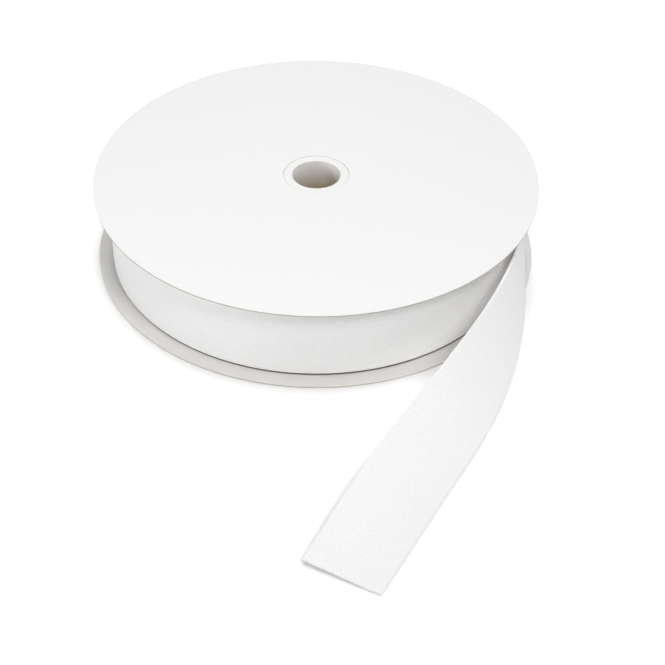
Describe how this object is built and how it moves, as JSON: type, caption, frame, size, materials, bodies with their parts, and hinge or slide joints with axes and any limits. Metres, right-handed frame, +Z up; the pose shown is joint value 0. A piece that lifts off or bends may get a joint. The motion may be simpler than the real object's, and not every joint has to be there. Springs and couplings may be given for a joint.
{
  "type": "hook and loop tape roll",
  "caption": "Flanged board reel lying flat, wound with wide woven loop tape. The free end leaves the winding, turns over and lies on the table.",
  "frame": {"origin": "on the reel's axis, at the level of the table that the lower flange lies on", "axes": "+Z up along the reel's axis; +X to the side where the tape leaves the reel; the free end runs out towards -Y"},
  "size_m": [0.23, 0.3592, 0.045],
  "materials": {
    "lined_board": "satin",
    "hub_plastic": "satin",
    "core_board": "matte",
    "loop_tape": "matte"
  },
  "bodies": {
    "spool": {"lower_flange": "lined_board", "upper_flange": "lined_board", "lower_hub": "hub_plastic", "upper_hub": "hub_plastic", "core_tube": "core_board", "tape_pack": "loop_tape"},
    "tape_end": {"tape_outer_turns": "loop_tape", "tape_tail": "loop_tape"}
  },
  "joints": [
    {"name": "unwind", "type": "hinge", "parent": "spool", "child": "tape_end", "pos_m": [0, 0, 0], "axis": [0, 0, 1], "continuous": true}
  ]
}
